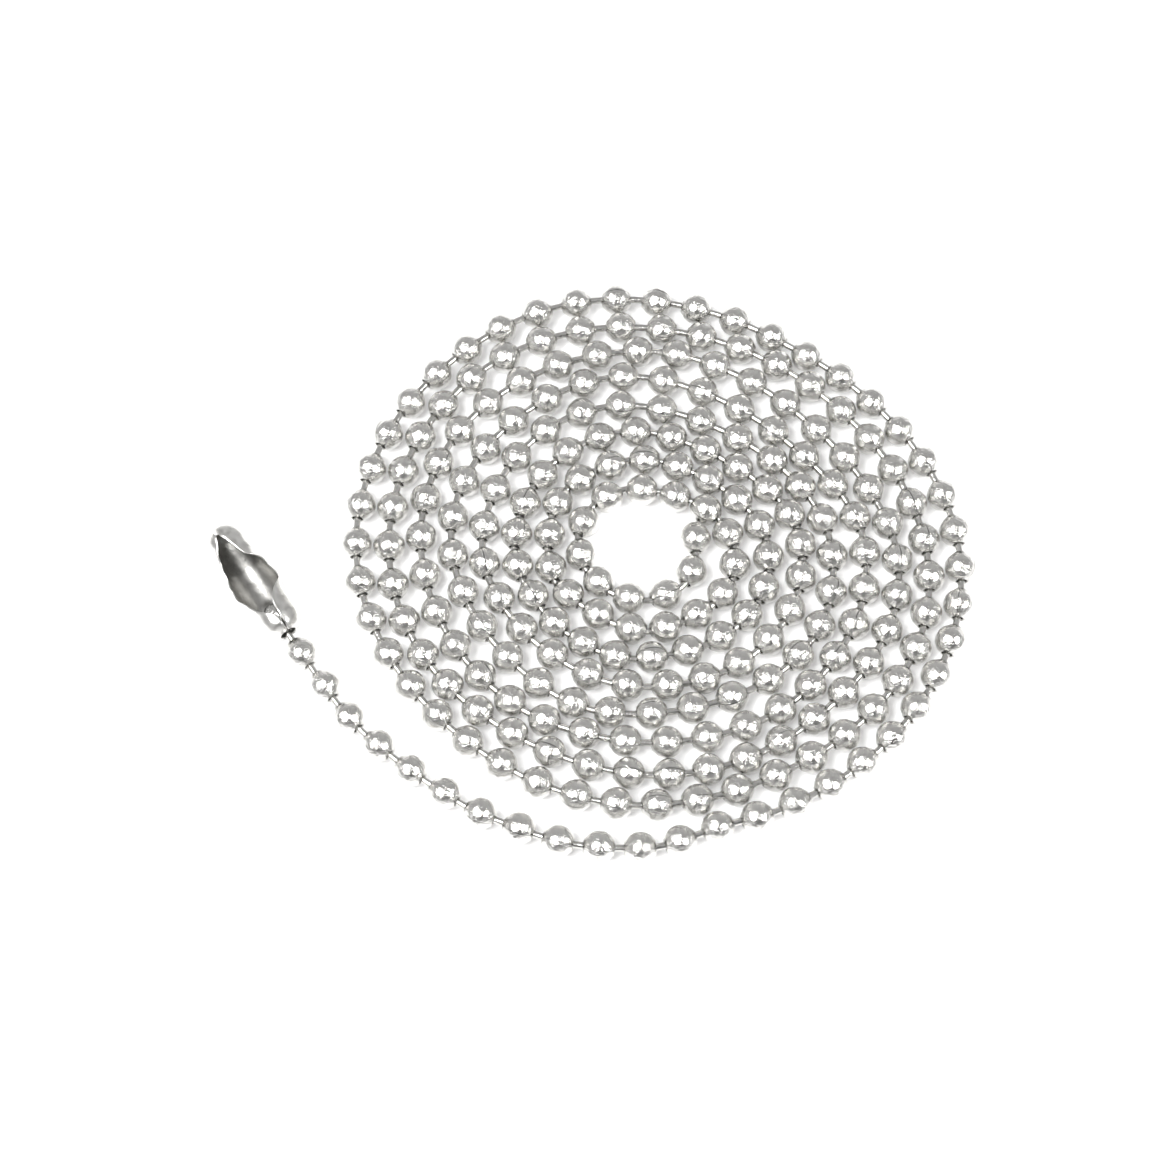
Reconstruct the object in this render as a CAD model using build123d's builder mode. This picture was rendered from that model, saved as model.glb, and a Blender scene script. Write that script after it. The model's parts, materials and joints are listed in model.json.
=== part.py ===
"""A 2.4 mm ball chain with a clasp on one end, lying on a flat surface.

Most of the chain is wound into a flat spiral. One end runs inwards to the hollow middle.
The other leaves the outer turn as a tail that ends in the clasp. Every ball is a hollow
bead with a hole at each end, every link is a pin with a head trapped inside two beads,
and the clasp is one rolled sheet that holds the last bead of the tail.

Plan positions are complex numbers, x + y*1j. The chain lies on z = 0, +Z is up, and the
origin is the middle of the whole object's bottom face.
"""
from build123d import *
import cmath
import math
import os

# --- beads, in millimetres ---------------------------------------------------------------
BEAD_D = 2.4              # ball diameter
BEAD_R = BEAD_D / 2
BEAD_WALL = 0.18
HOLE_R = 0.45             # hole at each end of a bead
COLLAR_R = 0.62           # foot of the small drawn collar round each hole
COLLAR_TIP_R = 0.53
COLLAR_X = 1.12           # the collar's end, from the middle of the bead

# --- link pins ---------------------------------------------------------------------------
NECK_R = 0.27
HEAD_R = 0.45
HEAD_T = 0.36             # thickness of a head
LINK_LENGTH = 2.36        # over both heads

# --- how the chain lies ------------------------------------------------------------------
BEADS = 245               # bead 0 sits in the clasp, bead 244 is the free inner end
COIL_START = 13           # first bead that belongs to the spiral
LAST_TURN = 8             # the spiral's last, part turn is counted with this one
TAIL_BEADS = 12           # beads of the tail that have sockets of their own to turn in
COIL_CENTRE = complex(4.50, 0.91)
COIL_R = 22.40            # spiral radius at the bottom of the outer turn
TURN_STEP = 2.226         # how far each turn lies inside the last
TURN_STEP_GROWTH = 0.008
START_TURN = 0.032        # where the tail joins, in turns from the bottom of the spiral
WAVE_FADE = 0.06          # the spiral grows rounder by this much with every turn inwards
WAVES = (                 # departures from a true spiral: n waves a turn, cosine, sine
    (1, -0.50, 0.05),
    (2, 0.71, -0.76),
    (3, 0.29, -0.13),
    (4, 0.24, 0.0),
)
PITCH_OUTER = 3.02        # bead spacing where the chain is drawn out
PITCH_INNER = 2.58        # bead spacing where it is pushed together
PITCH_WAVE = 0.12         # the outer turns are a little looser on one side
PITCH_WAVE_TURN = 0.55
TIGHT_TURN = 5.2          # the turn after which the beads close up
TIGHT_SPREAD = 0.15
TAIL_PITCH = 2.86         # bead spacing where the tail starts, at the spiral
TAIL_PITCH_GROWTH = 0.02
TAIL_HEADING = 201        # direction in which the tail leaves the spiral, degrees from +X
TAIL_TURNS = (0, 11, 12, 6, 11, 3, 8, 5, 4, 5, 9, 2, 1)    # its turn to the right, per link

# --- how beads settle against each other -------------------------------------------------
SIDE_GAP = 0.05           # left between beads of neighbouring turns
PITCH_MIN = 2.52
PITCH_MAX = 3.10
PITCH_SLACK = 0.08        # how much further than its usual pitch a bead may be drawn out
BEND_MAX = 34             # largest turn from one link to the next
SETTLE_STEPS = 120
STIFFNESS = 0.08          # how strongly the chain evens out its own bends
AXIS_STEPS = 80           # rounds of turning the beads in line with their links
AXIS_EASE = 0.15

# --- clasp: lengths run from the middle of the bead it holds -----------------------------
SHEET = 0.25
CUP_R = 1.55              # outside of the round socket at each end
BELLY_R = 1.62            # outside of the middle, which rests on the surface
SOCKET_SPAN = 7.18        # from the middle of one socket to the middle of the other
END_HOLE_R = 0.64
SEAM = 0.10               # gap where the rolled edges meet over the near socket
SLOT = 0.72               # way for a link's neck into the far socket
EDGE = (                  # the open top: its edge along the clasp, above the axis
    (0.3, 1.75), (1.2, 1.35), (2.2, 0.9), (3.0, 0.38), (4.2, 0.30),
    (5.3, 0.42), (5.9, 0.95), (6.9, 1.35), (7.9, 1.75),
)
CUT_START = 0.1           # the seam and the slot are cut from this far above the axis

SOCKET_X = (COLLAR_X + math.sqrt((BEAD_R - BEAD_WALL) ** 2 - HOLE_R ** 2)) / 2


def pitch_at(turn):
    """Bead spacing after so many turns inwards."""
    tight = 1 / (1 + math.exp((TIGHT_TURN - turn) / TIGHT_SPREAD))
    wave = PITCH_WAVE * math.cos(2 * math.pi * (turn - PITCH_WAVE_TURN)) * (1 - tight)
    return PITCH_OUTER - (PITCH_OUTER - PITCH_INNER) * tight + wave


def spiral_at(turn):
    """Plan position of the winding after so many turns inwards."""
    angle = 2 * math.pi * turn - math.pi / 2
    waves = sum(c * math.cos(n * angle) + s * math.sin(n * angle) for n, c, s in WAVES)
    radius = COIL_R - TURN_STEP * turn - TURN_STEP_GROWTH * turn ** 2
    return COIL_CENTRE + cmath.rect(radius + waves * (1 - WAVE_FADE * turn), angle)


def lay_spiral(count):
    """Step along the winding, one bead at a time. Gives the beads and their turns."""
    turns = [START_TURN]
    while len(turns) < count:
        step = pitch_at(turns[-1])
        ahead = step / (2 * math.pi * abs(spiral_at(turns[-1]) - COIL_CENTRE))
        for _ in range(4):
            ahead *= step / abs(spiral_at(turns[-1] + ahead) - spiral_at(turns[-1]))
        turns.append(turns[-1] + ahead)
    return [spiral_at(turn) for turn in turns], turns


def spread(places, i, j, wanted):
    """Move two beads apart or together along their common line to the wanted distance."""
    gap = places[j] - places[i]
    push = gap / abs(gap) * (wanted - abs(gap)) / 2
    places[i] -= push
    places[j] += push


def settle(places, turns):
    """Let the beads of neighbouring turns nestle, without overlap or a sharp bend."""
    count = len(places)
    longest = [min(PITCH_MAX, pitch_at(turn) + PITCH_SLACK) for turn in turns]
    side = BEAD_D + SIDE_GAP
    reach = 2.2 * side
    pairs = [
        (i, j) for i in range(count) for j in range(i + 2, count)
        if abs(places[i] - places[j]) < reach
    ]
    for step in range(SETTLE_STEPS):
        ease = STIFFNESS * (1 - step / SETTLE_STEPS)
        for i in range(2, count - 2):
            inner = places[i - 1] + places[i + 1]
            outer = places[i - 2] + places[i + 2]
            places[i] += ease * ((4 * inner - outer) / 6 - places[i])
        for i in range(count - 2):
            legs = abs(places[i + 1] - places[i]) + abs(places[i + 2] - places[i + 1])
            span = legs * math.cos(math.radians(BEND_MAX / 2))
            if abs(places[i + 2] - places[i]) < span:
                spread(places, i, i + 2, span)
        for i, j in pairs:
            if abs(places[j] - places[i]) < side:
                spread(places, i, j, side)
        for i in range(count - 1):
            pitch = abs(places[i + 1] - places[i])
            if not PITCH_MIN <= pitch <= longest[i]:
                spread(places, i, i + 1, min(max(pitch, PITCH_MIN), longest[i]))
    return places


def lay_tail(start):
    """Beads from the one before the spiral out to the one inside the clasp."""
    heading = TAIL_HEADING
    places = [start]
    for n, turn in enumerate(TAIL_TURNS):
        heading -= turn
        pitch = TAIL_PITCH + TAIL_PITCH_GROWTH * n
        places.append(places[-1] + cmath.rect(pitch, math.radians(heading)))
    return places[:0:-1]


coil_places, coil_turns = lay_spiral(BEADS - COIL_START)
coil_places = settle(coil_places, coil_turns)
plan = lay_tail(coil_places[0]) + coil_places

# Middles of all beads. The clasp's thicker body lifts the bead inside it.
middles = [Vector(p.real, p.imag, BEAD_R) for p in plan]
middles[0] = Vector(plan[0].real, plan[0].imag, BELLY_R)


def link_line(i, axes):
    """Direction of the link from bead i to bead i + 1, from hole to hole."""
    return (middles[i + 1] - middles[i] - (axes[i] + axes[i + 1]) * SOCKET_X).normalized()


def turn_beads():
    """Turn every bead until its holes point half way between its two links."""
    along = [(middles[i + 1] - middles[i]).normalized() for i in range(BEADS - 1)]
    axes = [(a + b).normalized() for a, b in zip(along[:1] + along, along + along[-1:])]
    for _ in range(AXIS_STEPS):
        lines = [link_line(i, axes) for i in range(BEADS - 1)]
        pulls = zip(axes, lines[:1] + lines, lines + lines[-1:])
        axes = [(axis * (1 - AXIS_EASE) + (a + b) * AXIS_EASE / 2).normalized()
                for axis, a, b in pulls]
    return axes


axes = turn_beads()
exits = [middles[i] + axes[i] * SOCKET_X for i in range(BEADS)]
entries = [middles[i] - axes[i] * SOCKET_X for i in range(BEADS)]


def placed(middle, direction):
    """A location with its X axis along a direction and its Y axis level."""
    level = Vector(-direction.Y, direction.X, 0)
    return Plane(origin=middle, x_dir=direction, z_dir=direction.cross(level)).location


def bead_place(i):
    """Where bead i goes."""
    return placed(middles[i], axes[i])


def link_place(i):
    """Where the link from bead i to bead i + 1 goes, centred between their holes."""
    return placed((exits[i] + entries[i + 1]) / 2, link_line(i, axes))


def write(part, label):
    """Label a finished piece and write it to its own file."""
    part.label = label
    export_step(part, f"parts/{label}.step")


# One hollow bead, turned about its hole axis.
inner_r = BEAD_R - BEAD_WALL
collar_foot_x = math.sqrt(BEAD_R ** 2 - COLLAR_R ** 2)
hole_inner_x = math.sqrt(inner_r ** 2 - HOLE_R ** 2)
with BuildPart() as bead:
    with BuildSketch() as bead_section:
        with BuildLine():
            ThreePointArc((-collar_foot_x, COLLAR_R), (0, BEAD_R), (collar_foot_x, COLLAR_R))
            ThreePointArc((-hole_inner_x, HOLE_R), (0, inner_r), (hole_inner_x, HOLE_R))
            for side in (-1, 1):
                Line((side * collar_foot_x, COLLAR_R), (side * COLLAR_X, COLLAR_TIP_R))
                Line((side * COLLAR_X, COLLAR_TIP_R), (side * COLLAR_X, HOLE_R))
                Line((side * COLLAR_X, HOLE_R), (side * hole_inner_x, HOLE_R))
        make_face()
    revolve(axis=Axis.X)

# One link pin: a neck and two heads with round rims.
half_link = LINK_LENGTH / 2
rim_x = half_link - HEAD_T / 2
rim_y = HEAD_R - HEAD_T / 2
with BuildPart() as link:
    with BuildSketch() as link_section:
        with BuildLine():
            Line((-half_link, 0), (half_link, 0))
            Line((HEAD_T - half_link, NECK_R), (half_link - HEAD_T, NECK_R))
            for side in (-1, 1):
                Line((side * half_link, 0), (side * half_link, rim_y))
                ThreePointArc(
                    (side * half_link, rim_y),
                    (side * rim_x, HEAD_R),
                    (side * (half_link - HEAD_T), rim_y),
                )
        make_face()
    revolve(axis=Axis.X)

# The clasp: a rolled shell with a round socket at each end and an open top between them.
belly_x = SOCKET_SPAN / 2
with BuildPart() as clasp_shell:
    with BuildSketch() as wall_section:
        with BuildLine():
            for cup, belly in ((CUP_R, BELLY_R), (CUP_R - SHEET, BELLY_R - SHEET)):
                end = math.sqrt(cup ** 2 - END_HOLE_R ** 2)
                slope = cup * math.sqrt(0.5)
                ThreePointArc((-end, END_HOLE_R), (-slope, slope), (0, cup))
                ThreePointArc((0, cup), (belly_x, belly), (SOCKET_SPAN, cup))
                ThreePointArc(
                    (SOCKET_SPAN, cup),
                    (SOCKET_SPAN + slope, slope),
                    (SOCKET_SPAN + end, END_HOLE_R),
                )
            for start, way in ((0, -1), (SOCKET_SPAN, 1)):
                rims = [math.sqrt(r ** 2 - END_HOLE_R ** 2) for r in (CUP_R, CUP_R - SHEET)]
                Line(*[(start + way * rim, END_HOLE_R) for rim in rims])
        make_face()
    revolve(axis=Axis.X)
    with BuildSketch(Plane.XZ) as open_top:
        with BuildLine():
            Spline(*EDGE)
            Line(EDGE[-1], EDGE[0])
        make_face()
    extrude(amount=2 * BELLY_R, both=True, mode=Mode.SUBTRACT)
    cut_height = 2 * CUP_R
    with Locations((0, 0, CUT_START + cut_height / 2)):
        Box(3 * CUP_R, SEAM, cut_height, mode=Mode.SUBTRACT)
    with Locations((SOCKET_SPAN + CUP_R, 0, CUT_START + cut_height / 2)):
        Box(2 * CUP_R, SLOT, cut_height, mode=Mode.SUBTRACT)

os.makedirs("parts", exist_ok=True)

# The spiral: one node of beads and one of links for each turn, the outer turn first. The
# pieces are grouped and not added in a builder, which would fuse them.
turns = {}
for i in range(TAIL_BEADS, BEADS - 1):
    turn = min(int(coil_turns[max(i - COIL_START, 0)]), LAST_TURN - 1)
    turns.setdefault(turn, []).append(i)
for turn, members in turns.items():
    turn_beads = [bead.part.solid().moved(bead_place(i)) for i in members]
    turn_links = [link.part.solid().moved(link_place(i)) for i in members if i < BEADS - 2]
    write(Compound(children=turn_beads), f"beads_turn_{turn + 1}")
    write(Compound(children=turn_links), f"links_turn_{turn + 1}")

# The tail and the free inner end: one node for every piece that moves on its own.
for i in range(TAIL_BEADS):
    write(bead.part.moved(bead_place(i)), f"tail_bead_{i:02d}" if i else "clasp_bead")
    write(link.part.moved(link_place(i)), f"tail_link_{i + 1:02d}")
write(link.part.moved(link_place(BEADS - 2)), "free_end_link")
write(bead.part.moved(bead_place(BEADS - 1)), "free_end_bead")

# The clasp points straight on from the last link of the tail, but lies level.
clasp_line = middles[0] - middles[1]
clasp_place = placed(middles[0], Vector(clasp_line.X, clasp_line.Y, 0).normalized())
write(clasp_shell.part.moved(clasp_place), "clasp")

chain_length = sum(abs(b - a) for a, b in zip(plan, plan[1:]))
print(f"{BEADS} beads, chain {chain_length:.0f} mm, spiral of {coil_turns[-1]:.2f} turns")
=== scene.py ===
# %% [markdown]
# # A ball chain with a clasp
#
# A ball chain is a string of hollow metal balls. A short pin with a head on each end joins
# every two balls, and its heads are trapped inside them, so each ball can swing and spin.
# This one lies in a flat spiral, with a rolled clasp at the end of its tail.
#
# The lesson builds it in four steps: find out where the frame puts every ball and pin, turn
# one good ball and one good pin, let Geometry Nodes copy them to those places, and model
# the clasp from a curved sheet. Finishes, light and camera are set along the way.

import bmesh
import bpy
import json
import math
from mathutils import Matrix, Vector


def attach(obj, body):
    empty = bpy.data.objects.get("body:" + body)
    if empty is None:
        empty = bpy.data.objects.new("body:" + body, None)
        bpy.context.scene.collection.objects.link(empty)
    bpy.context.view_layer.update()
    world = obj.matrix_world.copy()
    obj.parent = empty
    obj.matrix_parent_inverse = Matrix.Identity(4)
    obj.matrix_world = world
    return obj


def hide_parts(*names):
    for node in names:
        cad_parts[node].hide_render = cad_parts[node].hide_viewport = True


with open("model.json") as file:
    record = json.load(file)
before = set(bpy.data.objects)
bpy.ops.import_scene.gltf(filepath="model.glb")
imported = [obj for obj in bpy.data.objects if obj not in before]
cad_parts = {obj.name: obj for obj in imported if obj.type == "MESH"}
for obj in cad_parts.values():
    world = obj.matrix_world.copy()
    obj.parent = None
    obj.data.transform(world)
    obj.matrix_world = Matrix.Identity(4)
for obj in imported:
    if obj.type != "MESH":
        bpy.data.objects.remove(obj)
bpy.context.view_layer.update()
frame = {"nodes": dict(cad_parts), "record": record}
MM = 0.001

# %% [markdown]
# ## Where the balls and pins are
#
# The frame already holds every ball and pin as a plain solid, many to a node. Their places
# could be worked out again from a spiral formula, but then two sets of numbers could drift
# apart. Reading them from the frame is safer: each solid is one island of its node's mesh,
# and the middle of an island's box is the middle of the ball or pin.

# %% Middles of the loose pieces of a node
def island_middles(node):
    """The middle of each separate solid in a CAD node, in metres."""
    mesh = bmesh.new()
    mesh.from_mesh(node.data)
    bmesh.ops.remove_doubles(mesh, verts=mesh.verts, dist=0.002 * MM)
    middles, waiting = [], set(mesh.verts)
    for start in mesh.verts:        # in mesh order: a set's own order changes from run to run
        if start not in waiting:
            continue
        waiting.remove(start)
        edge_of_island = [start]
        island = []
        while edge_of_island:
            vert = edge_of_island.pop()
            island.append(vert.co.copy())
            for edge in vert.link_edges:
                other = edge.other_vert(vert)
                if other in waiting:
                    waiting.remove(other)
                    edge_of_island.append(other)
        low = Vector(min(co[k] for co in island) for k in range(3))
        high = Vector(max(co[k] for co in island) for k in range(3))
        middles.append((low + high) / 2)
    mesh.free()
    return middles


balls = {}
pins = {}
for name, node in frame["nodes"].items():
    if "bead" in name:
        balls[name] = island_middles(node)
    elif "link" in name:
        pins[name] = island_middles(node)
print("balls:", sum(map(len, balls.values())), "pins:", sum(map(len, pins.values())))

# %% [markdown]
# ## Which way each piece points
#
# A pin lies between its two nearest balls, so the line between them gives its direction.
# A ball's holes face its two pins, so the line from one pin to the other gives its own. The
# two balls at the ends of the chain have one pin only, and look straight at it.

# %% Directions from neighbours
PIN_REACH = 1.72 * MM     # a ball's own pins lie nearer than this, a neighbouring turn's do not


def nearest(point, others, count):
    """The few points of a list that lie nearest to a point."""
    return sorted(others, key=lambda other: (other - point).length)[:count]


all_balls = [middle for group in balls.values() for middle in group]
all_pins = [middle for group in pins.values() for middle in group]


def ball_direction(middle):
    """The way a ball's hole looks, from one of its pins towards the other."""
    own = [pin for pin in nearest(middle, all_pins, 2) if (pin - middle).length < PIN_REACH]
    start = own[1] if len(own) == 2 else middle
    return (own[0] - start).normalized()


def pin_direction(middle):
    """The way a pin lies, from one of its balls towards the other."""
    first, second = nearest(middle, all_balls, 2)
    return (second - first).normalized()


print("last ball looks along", ball_direction(balls["free_end_bead"][0])[:])

# %% [markdown]
# ## Colour and node helpers
#
# Hex colours are picked on screen, where they are stored with the sRGB curve. A shader works
# with light, so one function undoes that curve. A second one adds a node with its settings
# and its links in one call, which keeps the node trees short enough to read.

# %% Two helpers
def linear(hex_colour):
    """An sRGB hex colour as the linear colour that a shader takes."""
    parts = [int(hex_colour[k:k + 2], 16) / 255 for k in (1, 3, 5)]
    bent = [p / 12.92 if p <= 0.04045 else ((p + 0.055) / 1.055) ** 2.4 for p in parts]
    return (*bent, 1.0)


def add_node(tree, kind, links=None, **settings):
    """Add a node. settings are its own properties, or values of its inputs by name.

    links maps an input's name to the output socket that feeds it.
    """
    node = tree.nodes.new(kind)
    for key, value in settings.items():
        if hasattr(node, key):
            setattr(node, key, value)
    for key, value in settings.items():
        if not hasattr(node, key):
            node.inputs[key.replace("_", " ")].default_value = value
    for key, output in (links or {}).items():
        tree.links.new(output, node.inputs[key])
    return node


# %% [markdown]
# ## The nickel finishes
#
# The chain is brass or steel strip, tumbled and then plated with bright nickel. Nickel is a
# metal with a faint warm grey, and the plating follows every small dent that tumbling leaves.
# So the finish is a fully metallic surface with a low roughness, which shows sharp
# reflections, and a weak bump in two sizes: shallow dents about a third of a millimetre
# across, and a grain from the tumbling media. Real grain is finer than a hundredth of a
# millimetre, which no camera would show on a whole chain, so it is drawn at a tenth.
#
# A sculpted surface could hold the dents too, but it would need thousands of faces a ball.

# %% Nickel
BALL_MM = 1.2             # outside radius of a ball
GRAIN_PER_DENT = 3        # how many grains fit across one dent
SEAM_TONE = "#4A4947"     # the closed joint of the strip, dark because no light gets out


def nickel(name, tone, roughness, dent_mm, dent_depth_mm, grain_depth_mm, seam_mm=0):
    """A plated finish. Dents and grain are bumps on the object's own coordinates.

    A seam of that width runs along a piece that has a UV map from the lathe.
    """
    finish = bpy.data.materials.new(name)
    finish.use_nodes = True
    tree = finish.node_tree
    tree.nodes.clear()
    place = add_node(tree, "ShaderNodeTexCoord")
    dents = add_node(
        tree, "ShaderNodeTexNoise", {"Vector": place.outputs["Object"]},
        Scale=1 / (dent_mm * MM), Detail=1.0, Roughness=0.4,
    )
    grain = add_node(
        tree, "ShaderNodeTexNoise", {"Vector": place.outputs["Object"]},
        Scale=GRAIN_PER_DENT / (dent_mm * MM), Detail=2.0, Roughness=0.6,
    )
    dented = add_node(
        tree, "ShaderNodeBump", {"Height": dents.outputs["Fac"]},
        Strength=1.0, Distance=dent_depth_mm * MM,
    )
    grained = add_node(
        tree, "ShaderNodeBump",
        {"Height": grain.outputs["Fac"], "Normal": dented.outputs["Normal"]},
        Strength=1.0, Distance=grain_depth_mm * MM,
    )
    surface = add_node(
        tree, "ShaderNodeBsdfPrincipled", {"Normal": grained.outputs["Normal"]},
        Base_Color=linear(tone), Metallic=1.0, Roughness=roughness,
    )
    if seam_mm:
        width = seam_mm / (2 * math.pi * BALL_MM)
        around = add_node(tree, "ShaderNodeUVMap", uv_map="round_and_along")
        split = add_node(tree, "ShaderNodeSeparateXYZ", {"Vector": around.outputs["UV"]})
        seam = add_node(
            tree, "ShaderNodeMapRange", {"Value": split.outputs["X"]},
            From_Min=0.0, From_Max=width, To_Min=0.0, To_Max=1.0,
        )
        shade = add_node(tree, "ShaderNodeMix", data_type="RGBA")
        tree.links.new(seam.outputs["Result"], shade.inputs[0])
        shade.inputs[6].default_value = linear(SEAM_TONE)
        shade.inputs[7].default_value = linear(tone)
        tree.links.new(shade.outputs[2], surface.inputs["Base Color"])
    add_node(tree, "ShaderNodeOutputMaterial", {"Surface": surface.outputs["BSDF"]})
    return finish


# Bright and dented: sharp, broken highlights, and a dark line where the seam comes up.
ball_finish = nickel("bright_nickel_balls", "#CFCECB", 0.09, 0.30, 0.06, 0.03, seam_mm=0.1)
# Drawn wire, smooth along its length: one clean streak of light between two balls.
pin_finish = nickel("bright_nickel_pins", "#C4C3C0", 0.18, 0.3, 0.02, 0.004)
# Stamped sheet, slightly satin: wide soft shades that show the bend of the metal.
clasp_finish = nickel("satin_nickel_clasp", "#D2D1CE", 0.28, 0.7, 0.04, 0.008)
# Plating reaches the inside thinly, so it is duller; its darker tone is painted shade, so the
# hollow reads as deep.
inside_painted_shade_finish = nickel("dull_nickel_inside_painted_shade", "#A6A5A2", 0.38, 0.7, 0.04, 0.01)
print("finishes:", ball_finish.name, pin_finish.name, clasp_finish.name)

# %% [markdown]
# ## Turning one ball and one pin
#
# A real ball is rolled up from strip, so it is a thin shell with a hole at each end, where
# the metal is drawn out into a small collar. A lathe gives that in one go: draw half of the
# section as a closed loop of points and carry it round the hole's axis. The Screw modifier
# would also do it. A few lines of mesh code are clearer here, because the number of sides
# has to stay low: 245 copies are made, and a mirror finish hides flats only down to about
# 16 sides, so a ball has about 270 faces, with smooth shading doing the rest.

# %% A small lathe
def lathe(name, section, sides):
    """Turn a section of (along, radius) points, in mm, about X. A loop closes on itself.

    A section that starts on the axis is open and closes itself there. The UV map runs
    round the piece from 0 to 1, and along it in mm.
    """
    mesh = bmesh.new()
    uv_map = mesh.loops.layers.uv.new("round_and_along")
    rings = []
    for along, radius in section:
        ring = []
        for k in range(sides if radius > 0 else 1):
            turn = 2 * math.pi * k / sides
            at = (along, radius * math.cos(turn), radius * math.sin(turn))
            ring.append(mesh.verts.new([MM * value for value in at]))
        rings.append(ring)
    closed = section[0][1] > 0
    for first, second in zip(rings, rings[1:] + rings[:1] if closed else rings[1:]):
        for k in range(sides):
            corners = [(first[k % len(first)], k), (first[(k + 1) % len(first)], k + 1),
                       (second[(k + 1) % len(second)], k + 1), (second[k % len(second)], k)]
            face = mesh.faces.new(list(dict.fromkeys(vert for vert, _ in corners)))
            rounds = dict(reversed(corners))
            for loop in face.loops:
                loop[uv_map].uv = (rounds[loop.vert] / sides, loop.vert.co.x / MM)
    bmesh.ops.recalc_face_normals(mesh, faces=mesh.faces)
    for face in mesh.faces:
        face.smooth = True
    data = bpy.data.meshes.new(name)
    mesh.to_mesh(data)
    mesh.free()
    return bpy.data.objects.new(name, data)


# %% The ball
HOLE_R = 0.45
COLLAR_TIP = (1.12, 0.53)           # along the hole and out from it
COLLAR_FOOT_R = 0.62                # where the collar leaves the ball
SKIN_R = 1.02                       # inside of the hollow ball
INNER_RINGS = (42, 70, 110, 138)    # degrees from the hole, close together where heads swing
BALL_SIDES = 16
SPHERE_STEPS = 6

foot = math.asin(COLLAR_FOOT_R / BALL_MM)
sphere = [foot + (math.pi - 2 * foot) * k / SPHERE_STEPS for k in range(SPHERE_STEPS + 1)]
outside = [(BALL_MM * math.cos(turn), BALL_MM * math.sin(turn)) for turn in sphere]
inner_hole = math.sqrt(SKIN_R ** 2 - HOLE_R ** 2)
inner_turns = [math.radians(degrees) for degrees in reversed(INNER_RINGS)]
inside = [(SKIN_R * math.cos(turn), SKIN_R * math.sin(turn)) for turn in inner_turns]
tip, tip_r = COLLAR_TIP
ball_section = (
    [(tip, tip_r)] + outside + [(-tip, tip_r), (-tip, HOLE_R), (-inner_hole, HOLE_R)]
    + inside + [(inner_hole, HOLE_R), (tip, HOLE_R)]
)
one_ball = lathe("one_ball", ball_section, BALL_SIDES)
print("one ball:", len(one_ball.data.polygons), "faces")

# %% The pin
NECK_R = 0.27
NECK_END = 0.6            # the straight part of the neck, from the pin's middle
HEAD_AT = 1.0             # middle of a head, from the pin's middle
HEAD_HALF = 0.18          # half of a head's length
HEAD_R = 0.45
PIN_SIDES = 10

half_pin = [
    (HEAD_AT + HEAD_HALF, 0), (HEAD_AT + HEAD_HALF, NECK_R), (HEAD_AT, HEAD_R),
    (HEAD_AT - HEAD_HALF, NECK_R), (NECK_END, NECK_R),
]
pin_section = half_pin + [(-x, r) for x, r in reversed(half_pin)]
one_pin = lathe("one_pin", pin_section, PIN_SIDES)
print("one pin:", len(one_pin.data.polygons), "faces")

# %% [markdown]
# ## Copying them along the chain
#
# Geometry Nodes put a copy on every point of a mesh that has one point for each place. The
# point carries a vector named "direction", and each copy is turned until its own X axis
# lies along it. Real balls have also spun about their holes, so each copy gets a random
# roll from a fixed seed. Realize Instances turns the copies into real mesh at the end.
# A Python loop that joins 245 meshes would also work, but the tree is quicker and can be
# looked at node by node.

# %% The node tree
def socket(sockets, name):
    """The socket of that name that is in use: some nodes keep one for each data type."""
    return next(s for s in sockets if s.name == name and s.enabled)


strung = bpy.data.node_groups.new("string_on_points", "GeometryNodeTree")
for name, kind in (
    ("Points", "NodeSocketGeometry"), ("Piece", "NodeSocketObject"),
    ("Finish", "NodeSocketMaterial"), ("Roll", "NodeSocketFloat"), ("Seed", "NodeSocketInt"),
):
    strung.interface.new_socket(name, in_out="INPUT", socket_type=kind)
strung.interface.new_socket("Mesh", in_out="OUTPUT", socket_type="NodeSocketGeometry")

given = add_node(strung, "NodeGroupInput")
piece = add_node(strung, "GeometryNodeObjectInfo", {"Object": given.outputs["Piece"]})
heading = add_node(
    strung, "GeometryNodeInputNamedAttribute", data_type="FLOAT_VECTOR", Name="direction",
)
facing = add_node(
    strung, "FunctionNodeAlignRotationToVector",
    {"Vector": socket(heading.outputs, "Attribute")}, axis="X",
)
chance = add_node(
    strung, "FunctionNodeRandomValue", {"Seed": given.outputs["Seed"]}, data_type="FLOAT",
)
roll = add_node(strung, "ShaderNodeMath", operation="MULTIPLY")
strung.links.new(socket(chance.outputs, "Value"), roll.inputs[0])
strung.links.new(given.outputs["Roll"], roll.inputs[1])
spin = add_node(
    strung, "FunctionNodeAxisAngleToRotation", {"Angle": roll.outputs[0]}, Axis=(1, 0, 0),
)
turned = add_node(
    strung, "FunctionNodeRotateRotation",
    {"Rotation": facing.outputs["Rotation"], "Rotate By": spin.outputs["Rotation"]},
    rotation_space="LOCAL",
)
copies = add_node(
    strung, "GeometryNodeInstanceOnPoints",
    {"Points": given.outputs["Points"], "Instance": piece.outputs["Geometry"],
     "Rotation": turned.outputs["Rotation"]},
)
real = add_node(
    strung, "GeometryNodeRealizeInstances", {"Geometry": copies.outputs["Instances"]},
)
finished = add_node(
    strung, "GeometryNodeSetMaterial",
    {"Geometry": real.outputs["Geometry"], "Material": given.outputs["Finish"]},
)
add_node(strung, "NodeGroupOutput", {"Mesh": finished.outputs["Geometry"]})
inputs = {item.name: item.identifier for item in strung.interface.items_tree
          if item.in_out == "INPUT"}
print("tree inputs:", inputs)

# %% Run the tree for one node of the frame
FULL_TURN = 2 * math.pi


def body_of_node(name):
    """The body that a CAD node belongs to."""
    bodies = frame["record"]["behaviour"]["bodies"]
    return next(body for body, nodes in bodies.items() if name in nodes)


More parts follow.
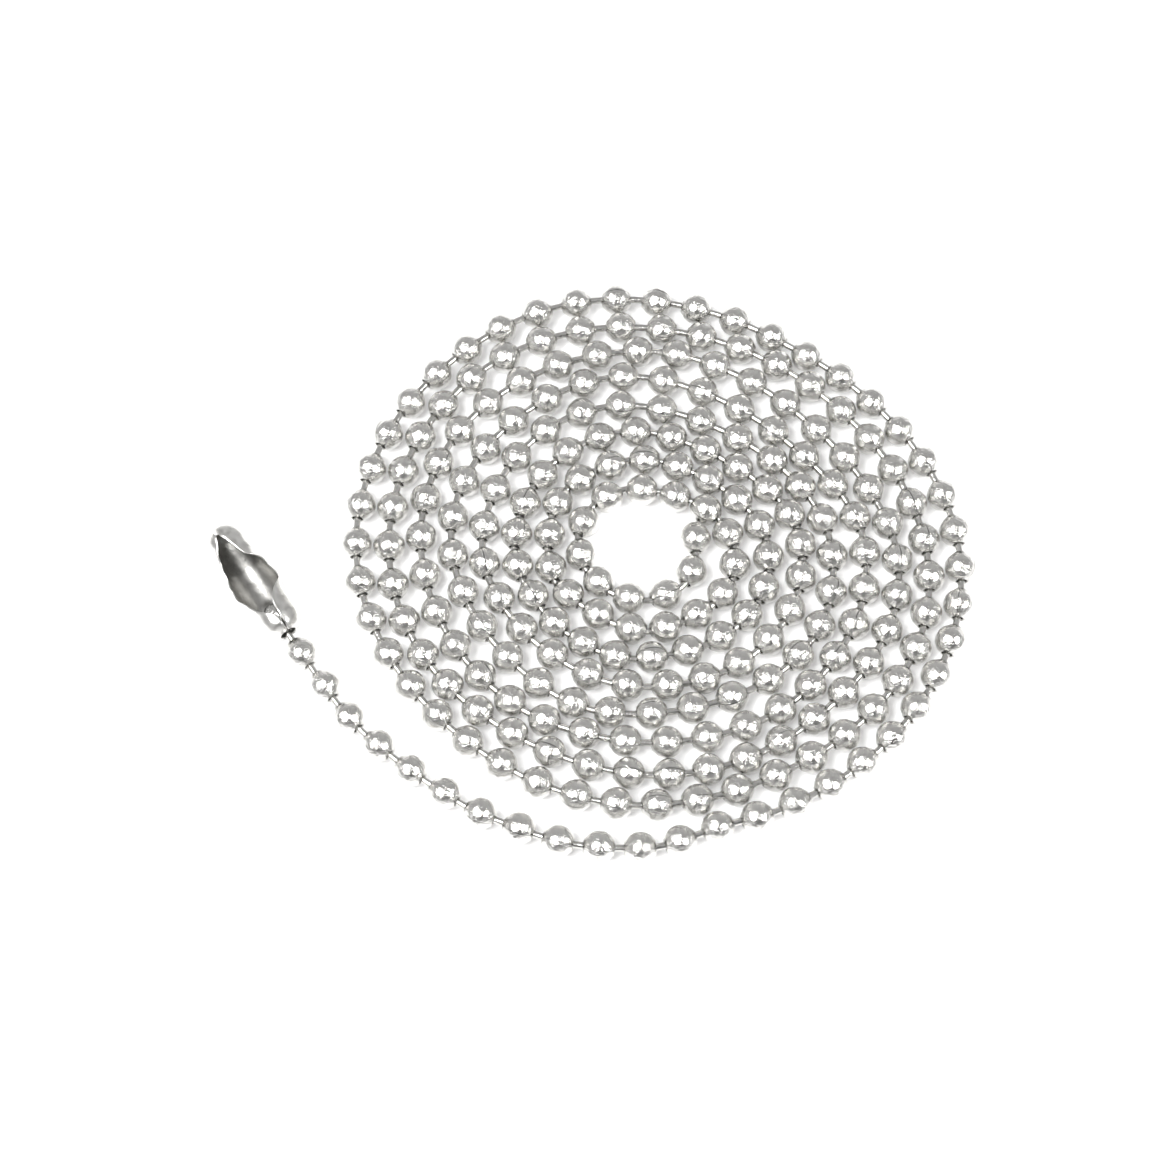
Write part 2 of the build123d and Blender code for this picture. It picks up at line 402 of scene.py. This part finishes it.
def string_on(node_name, piece_name, template, finish, middles, directions, seed):
    """Copies of a template on the middles of one CAD node, as one plain mesh."""
    points = bpy.data.meshes.new(piece_name + "_points")
    points.from_pydata(middles, [], [])
    heading_values = points.attributes.new("direction", "FLOAT_VECTOR", "POINT")
    heading_values.data.foreach_set("vector", [x for way in directions for x in way])
    carrier = bpy.data.objects.new(piece_name + "_carrier", points)
    bpy.context.scene.collection.objects.link(carrier)
    nodes = carrier.modifiers.new("string", "NODES")
    nodes.node_group = strung
    for key, value in (("Piece", template), ("Finish", finish), ("Roll", FULL_TURN),
                       ("Seed", seed)):
        nodes[inputs[key]] = value
    bpy.context.view_layer.update()
    graph = bpy.context.evaluated_depsgraph_get()
    data = bpy.data.meshes.new_from_object(carrier.evaluated_get(graph))
    data.name = piece_name
    bpy.data.objects.remove(carrier)
    made = bpy.data.objects.new(piece_name, data)
    bpy.context.scene.collection.objects.link(made)
    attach(made, body_of_node(node_name))
    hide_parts(node_name)
    return made


# %% String the balls and the pins
made_faces = 0
for seed, (name, middles) in enumerate(sorted(balls.items())):
    ways = [ball_direction(middle) for middle in middles]
    made = string_on(name, name.replace("bead", "ball"), one_ball, ball_finish,
                     middles, ways, seed)
    made_faces += len(made.data.polygons)
for seed, (name, middles) in enumerate(sorted(pins.items())):
    ways = [pin_direction(middle) for middle in middles]
    made = string_on(name, name.replace("link", "pin"), one_pin, pin_finish,
                     middles, ways, seed)
    made_faces += len(made.data.polygons)
for template in (one_ball, one_pin):
    bpy.data.objects.remove(template)
print("faces in the chain:", made_faces)

# %% [markdown]
# ## The clasp
#
# The clasp is one piece of thin sheet, stamped and rolled until its edges meet over the
# ball at each end. Between the ends its walls stay low, so that a ball can be dropped in.
# A solid block with a hole would be easier, but it would show no curling edge. Here a grid
# of points follows the real sheet: it runs along the clasp, and round it from one edge to
# the other. A table says at each station how wide the sheet is bent and how far round each
# edge reaches, and smooth curves fill in between. Solidify gives the sheet its thickness
# inwards, with the duller finish on its inner side, whose darker tone is painted shade,
# and Subdivision rounds the cut edges.

# %% Stations of the clasp
# mm from the held ball's middle; outside radius in mm; reach of the right and the left edge
# round from the bottom, in degrees; how far the edge flares outwards, in mm
STATIONS = (
    (-1.40, 0.66, 177, 177, 0.0),
    (-1.25, 0.92, 177, 177, 0.0),
    (-0.90, 1.27, 177, 177, 0.0),
    (-0.3, 1.50, 178, 176, 0.0),
    (0.2, 1.55, 178, 161, 0.0),
    (0.7, 1.56, 176, 141, 0.0),
    (1.3, 1.57, 166, 125, 0.02),
    (1.9, 1.59, 146, 114, 0.06),
    (2.5, 1.61, 114, 104, 0.20),
    (2.9, 1.62, 101, 100, 0.26),
    (3.6, 1.62, 98, 97, 0.20),
    (4.3, 1.61, 101, 97, 0.10),
    (4.7, 1.57, 122, 98, 0.04),
    (5.1, 1.52, 153, 101, 0.0),
    (5.6, 1.53, 168, 109, 0.0),
    (6.3, 1.56, 177, 129, 0.0),
    (7.0, 1.57, 187, 150, 0.0),
    (7.5, 1.52, 194, 158, 0.0),
    (7.95, 1.36, 198, 156, 0.0),
    (8.3, 1.10, 200, 152, 0.0),
    (8.5, 0.82, 198, 148, 0.0),
    (8.58, 0.64, 196, 146, 0.0),
)
SHEET = 0.13              # thickness in mm
ALONG_STEPS = 64
ROUND_STEPS = 36


def smooth_between(stations, at):
    """Values of a table at some place along it, on a curve through its rows."""
    last = len(stations) - 2
    k = max(i for i in range(last + 1) if i == 0 or stations[i][0] <= at)
    rows = [stations[min(max(k + shift, 0), last + 1)] for shift in (-1, 0, 1, 2)]
    span = rows[2][0] - rows[1][0]
    t = (at - rows[1][0]) / span
    values = []
    for column in range(1, len(stations[0])):
        before, low, high, after = (row[column] for row in rows)
        start = (high - before) / (rows[2][0] - rows[0][0]) * span
        end = (after - low) / (rows[3][0] - rows[1][0]) * span
        values.append(
            low * (2 * t ** 3 - 3 * t ** 2 + 1) + start * (t ** 3 - 2 * t ** 2 + t)
            + high * (3 * t ** 2 - 2 * t ** 3) + end * (t ** 3 - t ** 2)
        )
    return values


print("half way along:", [round(value, 2) for value in smooth_between(STATIONS, 3.5)])

# %% Where the clasp lies
held_ball = balls["clasp_bead"][0]
clasp_along = held_ball - balls["tail_bead_01"][0]
clasp_along.z = 0
clasp_along.normalize()
clasp_left = Vector((0, 0, 1)).cross(clasp_along)
print("the clasp points along", clasp_along[:])


# %% The rolled sheet
STOP = (1.55, 0.42, 0.34)       # a dent in the bottom keeps the ball in: place, size, depth
WAVE = 0.035                    # the stamped edge is slightly wavy, in mm
WAVE_RATE = 5.1                 # in radians for each mm along
WAVE_SHIFT = 2                  # the two edges are out of step, in radians


def sheet_point(at, turn, radius, reach, flare):
    """A point of the sheet's outside: at mm along, turn round from the bottom to one edge."""
    share = abs(turn) / reach
    dent = STOP[2] * math.exp(-((at - STOP[0]) ** 2 + (radius * turn) ** 2) / STOP[1] ** 2)
    shift = WAVE_SHIFT if turn > 0 else 0
    wave = WAVE * math.sin(WAVE_RATE * at + shift) * share ** 4
    out = radius - dent + wave
    side = math.copysign(flare * share ** 3, turn)
    left = -out * math.sin(turn) - side
    up = -out * math.cos(turn)
    return held_ball + (clasp_along * at + clasp_left * left + Vector((0, 0, up))) * MM


sheet = bmesh.new()
grid = []
first, last = STATIONS[0][0], STATIONS[-1][0]
for i in range(ALONG_STEPS + 1):
    ease = (1 - math.cos(math.pi * i / ALONG_STEPS)) / 2
    at = first + (last - first) * ease
    radius, right, left, flare = smooth_between(STATIONS, at)
    row = []
    for j in range(-ROUND_STEPS // 2, ROUND_STEPS // 2 + 1):
        reach = math.radians(right if j > 0 else left)
        turn = reach * j / (ROUND_STEPS / 2)
        row.append(sheet.verts.new(sheet_point(at, turn, radius, reach, flare)))
    grid.append(row)
for row, above in zip(grid, grid[1:]):
    for j in range(ROUND_STEPS):
        sheet.faces.new((row[j], row[j + 1], above[j + 1], above[j]))
bmesh.ops.recalc_face_normals(sheet, faces=sheet.faces)
middle_face = min(sheet.faces, key=lambda f: f.calc_center_median().z)
if middle_face.normal.z > 0:
    bmesh.ops.reverse_faces(sheet, faces=sheet.faces)
for face in sheet.faces:
    face.smooth = True
clasp_data = bpy.data.meshes.new("rolled_clasp")
sheet.to_mesh(clasp_data)
sheet.free()
clasp = bpy.data.objects.new("rolled_clasp", clasp_data)
bpy.context.scene.collection.objects.link(clasp)
wall = clasp.modifiers.new("sheet", "SOLIDIFY")
wall.thickness = SHEET * MM
wall.offset = -1
wall.material_offset = 1
rounding = clasp.modifiers.new("rounding", "SUBSURF")
rounding.levels = rounding.render_levels = 1
# The second finish goes on the sheet's inner side: its darker tone is painted shade inside the
# clasp.
for finish in (clasp_finish, inside_painted_shade_finish):
    clasp_data.materials.append(finish)
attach(clasp, "clasp")
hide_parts("clasp")
print("clasp:", len(clasp_data.polygons), "faces before its thickness")

# %% [markdown]
# ## Surface, light and camera
#
# A mirror shows its room, so the room is most of the look. Small shiny goods are set on a
# white sweep between two softboxes, left and right of the camera: each ball shows both as
# two bright spots side by side. A patchy grey surround shades the rest of the ball, and the
# dark front of the camera stand leaves one small dark spot below the middle.

# %% White surface
TABLE = 4.0
GLOW = 0.22               # lit from behind, which leaves only faint shadows
table_data = bpy.data.meshes.new("white_sweep")
corner = TABLE / 2
table_data.from_pydata(
    [(-corner, -corner, 0), (corner, -corner, 0), (corner, corner, 0), (-corner, corner, 0)],
    [], [(0, 1, 2, 3)],
)
table = bpy.data.objects.new("white_sweep", table_data)
bpy.context.scene.collection.objects.link(table)
# Matt white paper gives the eye nothing but the faint shadow under the chain.
paper = bpy.data.materials.new("matt_white_paper")
paper.use_nodes = True
paper_surface = paper.node_tree.nodes["Principled BSDF"].inputs
paper_surface["Base Color"].default_value = linear("#F6F6F6")
paper_surface["Roughness"].default_value = 0.9
paper_surface["Emission Color"].default_value = linear("#FFFFFF")
paper_surface["Emission Strength"].default_value = GLOW
table_data.materials.append(paper)

# %% Camera
AIM = Vector((-0.50, -1.29, 1.2)) * MM
CAMERA_HEIGHT = math.radians(66.8)
CAMERA_AWAY = 0.2054
CAMERA_LENS = 85.97       # in mm, for a sensor this wide
SENSOR = 36
NEAREST = 0.01            # in m; nothing is drawn nearer to the camera

to_camera = Vector((0, -math.cos(CAMERA_HEIGHT), math.sin(CAMERA_HEIGHT)))
camera_data = bpy.data.cameras.new("camera")
camera_data.lens = CAMERA_LENS
camera_data.sensor_width = SENSOR
camera_data.clip_start = NEAREST
camera = bpy.data.objects.new("camera", camera_data)
camera.matrix_world = (
    Matrix.Translation(AIM + to_camera * CAMERA_AWAY)
    @ to_camera.to_track_quat("Z", "Y").to_matrix().to_4x4()
)
bpy.context.scene.collection.objects.link(camera)
bpy.context.scene.camera = camera
print("camera at", camera.matrix_world.translation[:])

# %% Softboxes
BOX_AWAY = 0.42
# name, size in m, power in W, and degrees right of and above the camera's own direction
SOFTBOXES = (("left_softbox", 0.24, 2.2, -25, 10), ("right_softbox", 0.10, 1.0, 42, 1))


def beside_camera(right_degrees, up_degrees):
    """A direction so far to the right of the camera and above it, seen from the chain."""
    right, up = math.radians(right_degrees), math.radians(up_degrees)
    camera_up = to_camera.cross(Vector((1, 0, 0)))
    level = to_camera * math.cos(right) + Vector((1, 0, 0)) * math.sin(right)
    return level * math.cos(up) + camera_up * math.sin(up)


def facing_chain(way, away):
    """A place in that direction, with its own Z axis looking away from the chain."""
    return Matrix.Translation(way * away) @ way.to_track_quat("Z", "Y").to_matrix().to_4x4()


for name, size, power, right, up in SOFTBOXES:
    light = bpy.data.lights.new(name, "AREA")
    light.energy = power
    light.size = size
    box = bpy.data.objects.new(name, light)
    box.matrix_world = facing_chain(beside_camera(right, up), BOX_AWAY)
    bpy.context.scene.collection.objects.link(box)

# %% Dark front and grey surround
# name, width and height in m, and degrees right of and above the camera's own direction
CARD_AWAY = 0.35
CARDS = (("dark_front", 0.32, 0.08, 6, -33), ("dark_stand", 0.06, 0.22, 14, -12))
ROOM_PATCHES = 4.0
PATCH_EDGES = (0.35, 0.65)          # noise below and above these is fully dark or light
ROOM_DARK = 0.15
ROOM_LIGHT = 0.95

# Black felt swallows the light, so the balls show it as a clean dark spot.
felt = bpy.data.materials.new("black_felt")
felt.use_nodes = True
felt.node_tree.nodes["Principled BSDF"].inputs["Base Color"].default_value = linear("#181818")
felt.node_tree.nodes["Principled BSDF"].inputs["Roughness"].default_value = 1.0
for name, width, height, right, up in CARDS:
    place = facing_chain(beside_camera(right, up), CARD_AWAY)
    corners = [place @ Vector((x * width / 2, y * height / 2, 0))
               for x, y in ((-1, -1), (1, -1), (1, 1), (-1, 1))]
    card_data = bpy.data.meshes.new(name)
    card_data.from_pydata(corners, [], [(0, 1, 2, 3)])
    card_data.materials.append(felt)
    card = bpy.data.objects.new(name, card_data)
    bpy.context.scene.collection.objects.link(card)
    card.visible_camera = card.visible_diffuse = card.visible_shadow = False

# The room is patchy in reflections only. The camera itself sees a plain white behind.
world = bpy.data.worlds.new("studio")
world.use_nodes = True
room = world.node_tree
room_side = add_node(room, "ShaderNodeTexCoord")
patches = add_node(
    room, "ShaderNodeTexNoise", {"Vector": room_side.outputs["Generated"]},
    Scale=ROOM_PATCHES, Detail=3.0, Roughness=0.6,
)
tones = add_node(
    room, "ShaderNodeMapRange", {"Value": patches.outputs["Fac"]},
    From_Min=PATCH_EDGES[0], From_Max=PATCH_EDGES[1], To_Min=ROOM_DARK, To_Max=ROOM_LIGHT,
)
around = room.nodes["Background"]
room.links.new(tones.outputs["Result"], around.inputs["Color"])
plain = add_node(room, "ShaderNodeBackground", Color=linear("#FFFFFF"))
seen = add_node(room, "ShaderNodeLightPath")
either = add_node(room, "ShaderNodeMixShader", {"Fac": seen.outputs["Is Camera Ray"]})
room.links.new(around.outputs["Background"], either.inputs[1])
room.links.new(plain.outputs["Background"], either.inputs[2])
room.links.new(either.outputs["Shader"], room.nodes["World Output"].inputs["Surface"])
bpy.context.scene.world = world
bpy.context.scene.view_settings.view_transform = "Standard"     # keeps the paper white
print("studio:", len(SOFTBOXES), "softboxes,", len(CARDS), "dark cards")
